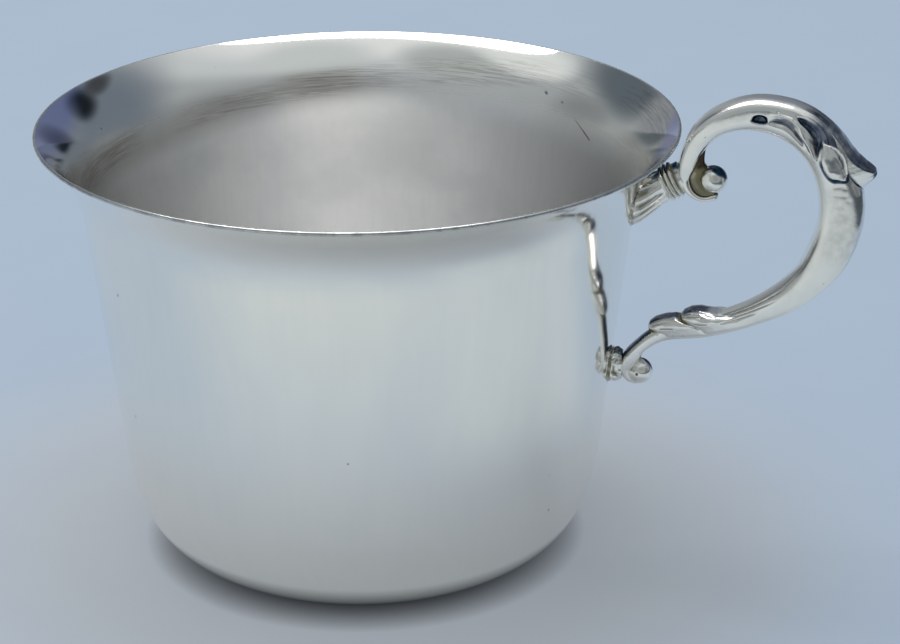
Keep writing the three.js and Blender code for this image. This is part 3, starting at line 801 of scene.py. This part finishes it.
def bracket_ring(along, round_, grow=0):
    """Points round the bracket, grown by a distance, and how deep the flutes are there."""
    high, wide, fluted = (np.interp(along, BRACKET_STOPS[:, 0], BRACKET_STOPS[:, k]) for k in (1, 2, 3))
    cut = fluted * FLUTE_DEPTH * (0.5 - 0.5 * np.cos(FLUTES * round_)) ** 0.7
    size = grow - cut + (COLLAR_HALF - WAIST_HALF) * ribs_at(along)
    path = BRACKET_END - BRACKET_ROOT
    square = unit(np.array((-path[2], 0, path[0])))
    up = unit(lerp(np.array((0, 0, 1)), square, smooth(0, 0.6, along)))
    rise = COLLAR_RAISE * smooth(0.2, 0.6, along)
    ring = BRACKET_ROOT + path * along + np.outer(np.cos(round_) * (high + rise + size) + rise, up)
    ring[:, 1] -= np.sin(round_) * (wide + size)
    return ring, cut


def make_bracket(material):
    round_ = turns(ROOT_SIDES)
    rows, hollow, dark = [], [], []
    for along in np.linspace(0, BRACKET_REACH, BRACKET_ROWS):
        ring, cut = bracket_ring(along, round_)
        if along < 0.3:
            seated = on_wall(ring, ROOT_PROUD)
            ring[:, 0] = np.maximum(ring[:, 0], seated[:, 0]) if along > 0 else seated[:, 0]
        rows.append(ring)
        collar = 0.45 * max(0, 1 - ribs_at(along)) * smooth(0.6, 0.65, along) * smooth(0.95, 0.86, along)
        hollow.append(np.maximum(0.1 + 0.34 * (cut / FLUTE_DEPTH) ** 2, collar))
        # Painted shade: the top of the collar, under the scroll's curl, is painted navy.
        dark.append(PAINTED_SHADE["collar"] * smooth(0.6, 0.9, np.cos(round_)) * smooth(0.4, 0.65, along))
    piece = make_piece("cast_bracket", capped(rows), skin(len(rows), ROOT_SIDES), (material,),
                       tarnish=np.append(hollow, [0, 0]), patina=np.append(dark, [0, 0]))
    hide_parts("leaf_bracket")
    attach(piece, "root")


# Wall pad: the knobbly boss between the wall and the foot of the scroll

PAD_HALF_HEIGHT = 2.2
PAD_HALF_WIDTH = 1.7
PAD_RAISE = 0.7
PAD_SQUARENESS = 2.8
PAD_HEIGHT = LOWER_EYE[2] + PAD_RAISE
PAD_SIDES = 96
PAD_ROWS = 22
KNOBS = [(0.2, 0.75, 2), (0.08, 0.35, 5)]  # height, width and seed
FOOT_X = LOWER_EYE[0] - LOWER_INNER


def pad_ring(round_, grow=0):
    upwards, sideways = squared(round_, PAD_SQUARENESS)
    return np.stack([np.full(len(round_), FOOT_X), -sideways * (PAD_HALF_WIDTH + grow),
                     PAD_HEIGHT + upwards * (PAD_HALF_HEIGHT + grow)], 1)


def make_pad(material):
    round_ = turns(PAD_SIDES)
    root = on_wall(pad_ring(round_), ROOT_PROUD)
    front = pad_ring(round_, -0.25)
    away = pad_ring(round_, 1) - pad_ring(round_)
    rows, hollow, dark = [], [], []
    for share in np.linspace(0, 1, PAD_ROWS):
        ring = lerp(root, front, share)
        swell = 0.2 * math.sin(math.pi * share) - 0.1
        knobs = sum(high * noise_at(ring, wide, seed) for high, wide, seed in KNOBS)
        rows.append(ring + away * ((swell + knobs) * min(1, 6 * share))[:, None])
        hollow.append(0.5 * smooth(0.3, 1.0, -knobs / 0.12))
        # Painted shade: the top of the pad is painted dark.
        dark.append(PAINTED_SHADE["pad"] * smooth(0.7, 0.95, np.cos(round_)))
    piece = make_piece("cast_pad", capped(rows), skin(len(rows), PAD_SIDES), (material,),
                       tarnish=np.append(hollow, [0, 0]), patina=np.append(dark, [0, 0]))
    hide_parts("wall_pad")
    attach(piece, "root")


# Fillets of solder on the wall round the roots of the bracket and the pad

SOLDER_LEG = 0.32
SOLDER_BACK = 0.2  # how far it reaches under the piece


def make_fillet(name, node, ring, material, seed):
    """ring gives the points round a root, grown by a distance."""
    round_ = turns(ROOT_SIDES)
    inner = on_wall(ring(round_, 0))
    spread = unit(on_wall(ring(round_, 1)) - inner)
    normal = unit(np.cross(spread, np.roll(inner, -1, axis=0) - np.roll(inner, 1, axis=0)))
    normal *= np.sign(normal[:, :1])
    leg = SOLDER_LEG * (0.85 + 0.15 * noise_at(inner, 1.1, seed))[:, None]
    back = inner - spread * SOLDER_BACK
    rows = [back + normal * leg]
    for bend in np.radians(np.linspace(0, 90, 9)):
        rows.append(inner + spread * leg * (1 - math.cos(bend)) + normal * leg * (1 - math.sin(bend)))
    rows.append(back)
    piece = make_piece(name, np.vstack(rows), strips(len(rows), ROOT_SIDES, len(rows)), (material,))
    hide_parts(node)
    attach(piece, "root")


# Material helpers

class Nodes:
    """Builds the nodes of one material or world."""

    def __init__(self, owner):
        owner.use_nodes = True
        self.tree = owner.node_tree

    def add(self, kind, inputs=None, output=0, **settings):
        node = self.tree.nodes.new("ShaderNode" + kind)
        for name, value in settings.items():
            setattr(node, name, value)
        for name, value in (inputs or {}).items():
            self.put(node.inputs[name], value)
        return node.outputs[output]

    def put(self, socket, value):
        if isinstance(value, bpy.types.NodeSocket):
            self.tree.links.new(value, socket)
        else:
            socket.default_value = value

    def math(self, operation, a, b=0.0):
        return self.add("Math", {0: a, 1: b}, operation=operation)

    def times(self, a, b):
        return self.math("MULTIPLY", a, b)

    def ramp(self, value, low, high, out_low=0.0, out_high=1.0):
        """The value from low to high, eased, as out_low to out_high."""
        return self.add("MapRange", {"Value": value, "From Min": low, "From Max": high, "To Min": out_low,
                                     "To Max": out_high}, interpolation_type="SMOOTHSTEP")

    def mix(self, share, a, b):
        """Colour a, or b where the share is 1."""
        return self.add("Mix", {0: share, 6: a, 7: b}, 2, data_type="RGBA")

    def band(self, value, start, full, until, gone):
        """1 where the value is from full to until, 0 before start and past gone."""
        return self.times(self.ramp(value, start, full), self.ramp(value, gone, until))

    def place(self):
        return self.add("TexCoord", output="Object")

    def toward(self, place, way):
        """How far a place lies along a way."""
        return self.add("VectorMath", {0: place, 1: way}, "Value", operation="DOT_PRODUCT")

    def along(self, *way):
        """How far the place on the object lies along a way."""
        return self.toward(self.place(), way)

    def length(self, vector):
        return self.add("VectorMath", {0: vector}, "Value", operation="LENGTH")

    def away_from(self, place):
        """The way from a place to the place on the object."""
        return self.add("VectorMath", {0: self.place(), 1: place}, operation="SUBTRACT")

    def noise(self, scale, stretch=(1, 1, 1), detail=3.0, rough=0.55):
        """Noise from 0 to 1, with features of about 1/scale metres on axes that can be stretched."""
        place = self.add("Mapping", {"Vector": self.place(), "Scale": stretch})
        return self.add("TexNoise", {"Vector": place, "Scale": scale, "Detail": detail, "Roughness": rough})

    def scratch(self, start, end, wide):
        """1 along a straight scratch on the object, 0 off it."""
        path = Vector(end) - Vector(start)
        long, way = path.length, path.normalized()
        off = self.away_from(start)
        aside = self.length(self.add("VectorMath", {0: off, 1: way}, operation="CROSS_PRODUCT"))
        ends = self.band(self.toward(off, way), -wide, wide, long - wide, long + wide)
        return self.times(ends, self.ramp(aside, wide, wide * 0.4))

    def pits(self, scale, radius, patches, low, high):
        """1 at the centre of spots that lie scattered in patches, 0 between them."""
        spots = self.add("TexVoronoi", {"Vector": self.place(), "Scale": scale})
        patch = self.ramp(self.noise(patches), low, high)
        return self.times(self.ramp(spots, radius, radius * 0.3), patch)


class Surface(Nodes):
    """Builds the nodes of one new material."""

    def __init__(self, name):
        self.material = bpy.data.materials.new(name)
        super().__init__(self.material)

    def finish(self, colour, rough, relief, strength, depth, others=None):
        """The material, with the strength and depth of its relief, and any other inputs of its shader."""
        bump = self.add("Bump", {"Height": relief, "Strength": strength, "Distance": depth})
        inputs = {"Metallic": 1, "Base Color": colour, "Roughness": rough, "Normal": bump, **(others or {})}
        for name, value in inputs.items():
            self.put(self.tree.nodes["Principled BSDF"].inputs[name], value)
        return self.material


# Silver plate, what dulls it, and painted shade and reflections
BLACK = (0, 0, 0, 1)
SILVER = (0.95, 0.93, 0.875, 1)
DULL_SILVER = (0.86, 0.85, 0.80, 1)
WORN_LIP = (0.62, 0.62, 0.60, 1)
LIP_GREY = (0.42, 0.42, 0.42, 1)
SATIN_SILVER = (0.87, 0.865, 0.855, 1)
SATIN_CLOUD = (0.76, 0.765, 0.76, 1)
SATIN_DARK = (0.80, 0.795, 0.785, 1)
# VIOLET paints a reflection at the two ends of the rim inside
VIOLET = (0.62, 0.66, 0.98, 1)
SCRATCH = (0.20, 0.15, 0.15, 1)
SOLDER_GREY = (0.66, 0.65, 0.61, 1)
PIT_GREY = (0.22, 0.21, 0.20, 1)
SPUN_BROWN = (0.36, 0.33, 0.29, 1)
OLIVE = (0.26, 0.23, 0.13, 1)
# SLATE and NAVY paint shade and dark reflections on the casting
SLATE = (0.17, 0.19, 0.24, 1)
NAVY = (0.012, 0.04, 0.075, 1)
UMBER = (0.075, 0.055, 0.04, 1)


def outer_silver():
    """Bright spun plate: faint streaks up the wall, a thin haze, and a few pits."""
    nodes = Surface("outer_silver")
    streaks = nodes.noise(1, (900, 900, 45), 4.0)
    haze = nodes.noise(70, (1, 1, 0.6))
    pits = nodes.pits(115, 0.035, 60, 0.5, 0.62)
    colour = nodes.mix(nodes.ramp(streaks, 0.35, 0.75, 0, 0.12), SILVER, DULL_SILVER)
    rough = nodes.math("ADD", nodes.ramp(haze, 0.3, 0.75, 0.08, 0.14), nodes.ramp(streaks, 0.3, 0.8, 0, 0.04))
    relief = nodes.math("SUBTRACT", nodes.times(nodes.noise(1, (60, 60, 5200), 2.0), 0.05), pits)
    return nodes.finish(nodes.mix(pits, colour, PIT_GREY), rough, relief, 0.12, 0.00004)


def lip_silver():
    """The edge of the lip, dulled by use and rubbed bright in places."""
    nodes = Surface("lip_silver")
    wear = nodes.noise(700, (1, 1, 0.3), 4.0)
    colour = nodes.mix(nodes.ramp(wear, 0.4, 0.65), WORN_LIP, LIP_GREY)
    return nodes.finish(colour, nodes.ramp(wear, 0.3, 0.8, 0.22, 0.36), wear, 0.1, 0.00003)


# Scratches inside, from and to in metres, and how wide
INNER_SCRATCHES = [((0.0238, 0.0276, 0.0523), (0.0264, 0.0239, 0.0505), 0.00012),
                   ((0.0264, 0.0239, 0.0505), (0.0275, 0.0223, 0.0497), 0.00016),
                   ((0.0202, 0.0310, 0.0536), (0.0206, 0.0307, 0.0533), 0.0003),
                   ((0.0228, 0.0287, 0.0530), (0.0230, 0.0285, 0.0528), 0.0002)]
# Levels at which the spun lines and the brown arc of the neck start, are full, begin to fade and are gone
NECK_LINES = (0.0512, 0.0527, 0.054, 0.0558)
NECK_ARC = (0.049, 0.0525, 0.0535, 0.057)


def inner_silver():
    """Satin inside: drawn marks up the wall, brown spun lines round the neck, and small pits."""
    nodes = Surface("inner_silver")
    drawn = nodes.noise(1, (1200, 1200, 50))
    spun = nodes.noise(1, (160, 160, 5200), 3.0, 0.7)
    clouds = nodes.noise(52, (1, 1, 1.3), 4.0)
    pits = nodes.pits(260, 0.05, 75, 0.55, 0.64)
    height = nodes.along(0, 0, 1)
    side = nodes.along(1, 0, 0)
    level = nodes.along(-0.1, 0, 1)
    neck = nodes.band(level, *NECK_LINES)
    satin = nodes.mix(nodes.ramp(clouds, 0.42, 0.66), SATIN_SILVER, SATIN_CLOUD)
    satin = nodes.mix(nodes.ramp(drawn, 0.35, 0.75, 0, 0.35), satin, SATIN_DARK)
    colour = nodes.mix(nodes.ramp(height, 0.049, 0.054), satin, SILVER)
    arc = nodes.times(nodes.band(level, *NECK_ARC), nodes.ramp(side, -0.026, 0.012, 0.45, 0.0))
    broken = nodes.times(nodes.ramp(spun, 0.40, 0.62), nodes.ramp(nodes.noise(45), 0.3, 0.55))
    lines = nodes.times(nodes.times(neck, broken), nodes.ramp(side, -0.02, 0.03, 0.75, 0.4))
    # Painted reflection: violet at the left and right ends of the rim inside, as seen from the front.
    back = nodes.times(nodes.along(0, 1, 0), 0.15)
    ends = nodes.ramp(nodes.math("SUBTRACT", nodes.math("ABSOLUTE", side), back), 0.0375, 0.0395)
    ends = nodes.times(ends, nodes.ramp(height, 0.053, 0.0555))
    for share, shade in ((arc, SPUN_BROWN), (lines, SPUN_BROWN), (ends, VIOLET)):
        colour = nodes.mix(share, colour, shade)
    for scratch in INNER_SCRATCHES:
        colour = nodes.mix(nodes.scratch(*scratch), colour, SCRATCH)
    marked = nodes.times(nodes.ramp(drawn, 0.3, 0.75, 0, 0.018), nodes.ramp(height, 0.050, 0.048))
    rough = nodes.math("ADD", marked, nodes.ramp(height, 0.050, 0.0562, 0.32, 0.05))
    marks = nodes.times(nodes.ramp(neck, 0, 1, 0.2, 0.8), nodes.ramp(height, 0.057, 0.0555, 0.3, 1))
    relief = nodes.math("SUBTRACT", nodes.times(spun, marks), pits)
    tangent = nodes.add("Tangent", direction_type="RADIAL", axis="Z")
    others = {"Anisotropic": 0.7, "Anisotropic Rotation": 0.25, "Tangent": tangent}
    return nodes.finish(nodes.mix(pits, colour, PIT_GREY), rough, relief, 0.2, 0.00004, others)


def cast_silver():
    """Polished casting: painted shade and dark reflections on the leaf and other parts, tarnish in the
    recesses, and fine pores.
    """
    nodes = Surface("cast_silver")
    tarnish = nodes.add("Attribute", output="Fac", attribute_name="tarnish")
    patina = nodes.add("Attribute", output="Fac", attribute_name="patina")
    cloud = nodes.noise(420, detail=4.0)
    depth = nodes.times(tarnish, nodes.ramp(cloud, 0.3, 0.6, 0.75, 1.1))
    blue = nodes.times(patina, nodes.ramp(nodes.noise(1000), 0.35, 0.68, 1.08, 0.7))
    pores = nodes.pits(900, 0.12, 300, 0.52, 0.62)
    colour = nodes.mix(nodes.ramp(cloud, 0.4, 0.8, 0, 0.5), SILVER, DULL_SILVER)
    # Slate and navy are painted shade and dark reflections; olive and umber are tarnish.
    for amount, low, high, shade in ((blue, 0, 1, SLATE), (blue, 0.9, 1.7, NAVY),
                                     (depth, 0.1, 0.55, OLIVE), (depth, 0.6, 1.0, UMBER)):
        colour = nodes.mix(nodes.ramp(amount, low, high), colour, shade)
    colour = nodes.mix(nodes.times(pores, 0.6), colour, PIT_GREY)
    rough = nodes.math("ADD", nodes.ramp(cloud, 0.3, 0.8, 0.19, 0.265), nodes.ramp(depth, 0.1, 0.8, 0, 0.2))
    relief = nodes.math("SUBTRACT", nodes.times(nodes.noise(1500, detail=4.0), 0.5), pores)
    return nodes.finish(colour, rough, relief, 0.5, 0.00006)


def solder_grey():
    """Duller solder that ran and froze in small lumps."""
    nodes = Surface("solder_grey")
    lumps = nodes.noise(1300, detail=4.0)
    colour = nodes.mix(nodes.ramp(lumps, 0.35, 0.65), SOLDER_GREY, OLIVE)
    return nodes.finish(colour, nodes.ramp(lumps, 0.3, 0.7, 0.24, 0.42), lumps, 0.6, 0.0001)


# Stage

FLOOR_BLUE = (0.415, 0.50, 0.61, 1)
# Painted light on the paper: FLOOR_PALE for paler places, FLOOR_GREY a painted bounce near the cup,
# FLOOR_DUSK a painted dark far side seen only in silver
FLOOR_PALE = (0.64, 0.69, 0.70, 1)
FLOOR_GREY = (0.48, 0.505, 0.53, 1)
FLOOR_DUSK = (0.06, 0.075, 0.09, 1)
FLOOR_MOTTLE = (0.34, 0.42, 0.55, 1)
FLOOR_GLOW = (0.6, 0.42)  # share of the colour that no soft shadow reaches, to left and right
FLOOR_HALF = 3
LIT_PLACE = (0.09, -0.03, 0)  # middle of the painted pale patch that only silver sees, a painted reflection
CONTACT_SHADOW = 0.004
LAMP_PLACE = (-0.13, 0.17, 0.80)
LAMP_SIZE = (0.77, 0.50)
LAMP_WATTS = 4.2


def floor_material():
    """Pale blue paper with a faint mottle, and painted light on it: paler in front of the cup and to its
    left, and greyer next to the cup, a painted bounce from the silver. Part of its colour glows, less to the
    right, so soft shadows are lighter to the left.

    Silver alone sees painted reflections: a dark far side on the right, and a paler patch beside the cup.
    """
    nodes = Surface("studio_paper")
    near = nodes.length(nodes.place())
    mottle = nodes.noise(40, detail=5.0)
    rays = nodes.add("LightPath").node.outputs
    mirrored = rays["Is Glossy Ray"]
    seen = nodes.math("MAXIMUM", rays["Is Camera Ray"], mirrored)
    seen = nodes.math("MAXIMUM", seen, rays["Is Transmission Ray"])
    # Painted light: paler in front and to the left, greyer next to the cup as if lit by the silver; silver
    # alone sees a painted dark far side and a painted pale patch.
    front = nodes.ramp(nodes.along(0, -1, 0), 0.03, 0.12)
    left = nodes.ramp(nodes.along(-0.9, -0.43, 0), 0.03, 0.09, 0, 0.16)
    right = nodes.ramp(nodes.along(1, -0.39, 0), 0.14, 0.19)
    aside = nodes.length(nodes.away_from(LIT_PLACE))
    lit = nodes.times(nodes.ramp(aside, 0.075, 0.03, 0, 0.6), nodes.ramp(near, 0.052, 0.072))
    colour = nodes.mix(nodes.ramp(near, 0.085, 0.035, 0, 0.8), FLOOR_BLUE, FLOOR_GREY)
    for share, shade in ((front, FLOOR_PALE), (left, FLOOR_PALE), (nodes.times(right, mirrored), FLOOR_DUSK),
                         (nodes.times(lit, mirrored), FLOOR_PALE),
                         (nodes.ramp(mottle, 0.3, 0.75, 0, 0.1), FLOOR_MOTTLE)):
        colour = nodes.mix(share, colour, shade)
    share = nodes.ramp(nodes.along(0.7, 0.7, 0), -0.03, 0.04, *FLOOR_GLOW)
    open_sky = nodes.add("AmbientOcclusion", {"Distance": CONTACT_SHADOW}, "AO")
    others = {"Metallic": 0, "Specular IOR Level": 0.1, "Emission Color": colour,
              "Emission Strength": nodes.times(seen, nodes.times(open_sky, share))}
    base = nodes.mix(nodes.times(seen, share), colour, BLACK)
    rough = nodes.ramp(mottle, 0.3, 0.7, 0.85, 0.95)
    return nodes.finish(base, rough, nodes.noise(900), 0.06, 0.0002, others)


def make_floor():
    mesh = bpy.data.meshes.new("floor")
    corners = [(x * FLOOR_HALF, y * FLOOR_HALF, 0) for x, y in ((-1, -1), (1, -1), (1, 1), (-1, 1))]
    mesh.from_pydata(corners, [], [(0, 1, 2, 3)])
    mesh.materials.append(floor_material())
    floor = add_object("floor", mesh)


def softbox(name, place, size, watts):
    """An oval lamp that faces straight down."""
    data = bpy.data.lights.new(name, "AREA")
    data.shape = "ELLIPSE"
    data.size, data.size_y = size
    data.energy = watts
    add_object(name, data).location = place


def heading(azimuth, elevation):
    """A direction: azimuth 0 is away from the front of the cup, 90 is towards the handle."""
    around, up = math.radians(azimuth), math.radians(elevation)
    return math.sin(around) * math.cos(up), math.cos(around) * math.cos(up), math.sin(up)


# Studio round the cup: brightness by the sine of the elevation, then patches at (azimuth, elevation)
# with the angles at which each is full and gone
STUDIO_RISE = [(0.0, (0.33, 0.36, 0.39)), (0.3, (0.30, 0.33, 0.35)), (0.6, (0.34, 0.37, 0.40)),
               (0.8, (0.52, 0.56, 0.60)), (0.95, (0.70, 0.73, 0.76))]
STUDIO_PATCHES = [
    (40, 16, 16, 44, (0.14, 0.17, 0.215)),
    (28, 25, 2, 10, (0.01, 0.015, 0.02)),
    (32, 36, 1, 7, (0.05, 0.055, 0.065)),
    (308, 30, 5, 23, (0.10, 0.125, 0.15)),
    (4, 14, 2, 26, (0.17, 0.195, 0.24)),
    (10, 3, 1, 12, (0.07, 0.08, 0.10)),
    (326, 10, 4, 16, (0.23, 0.25, 0.28)),
    (108, 4, 10, 27, (0.19, 0.20, 0.205)),
    (150, 33, 6, 22, (0.25, 0.265, 0.27)),
    (276, 12, 6, 22, (0.20, 0.215, 0.23)),
    (140, 62, 6, 22, (0.52, 0.57, 0.59)),
    (222, 56, 6, 20, (0.39, 0.43, 0.44)),
    (268, 52, 6, 18, (0.68, 0.72, 0.74)),
]


def make_world():
    world = bpy.data.worlds.new("studio")
    bpy.context.scene.world = world
    nodes = Nodes(world)
    way = nodes.add("TexCoord", output="Generated")
    rise = nodes.toward(way, (0, 0, 1))
    colour = (*STUDIO_RISE[0][1], 1)
    for (low, _), (high, shade) in zip(STUDIO_RISE, STUDIO_RISE[1:]):
        colour = nodes.mix(nodes.ramp(rise, low, high), colour, (*shade, 1))
    for azimuth, elevation, full, gone, shade in STUDIO_PATCHES:
        near = nodes.toward(way, heading(azimuth, elevation))
        share = nodes.ramp(near, math.cos(math.radians(gone)), math.cos(math.radians(full)))
        colour = nodes.mix(share, colour, (*shade, 1))
    nodes.put(nodes.tree.nodes["Background"].inputs["Color"], colour)


make_floor()
make_world()
softbox("overhead", LAMP_PLACE, LAMP_SIZE, LAMP_WATTS)

CAST = cast_silver()
SOLDER = solder_grey()
make_bowl(outer_silver(), lip_silver(), inner_silver())
make_handle(CAST)
make_ball("upper_bead", "upper_ball", UPPER_BALL * 1.17, (0.18, 0, 0.02), ((0.2, -0.9, 0.3), 0.03, 0.02),
          (0.5, 0.1, 0.86), CAST)
make_ball("lower_bead", "lower_ball", LOWER_BALL * 1.08, (0, 0, 0), ((-0.1, -1, 0.05), 0.006, 0.07),
          (0.6, 0.62, 0.5), CAST)
make_bracket(CAST)
make_pad(CAST)
make_fillet("upper_fillet", "upper_solder", lambda r, grow: bracket_ring(0, r, grow)[0], SOLDER, 3)
make_fillet("lower_fillet", "lower_solder", pad_ring, SOLDER, 4)

bpy.context.scene.view_settings.view_transform = "Standard"
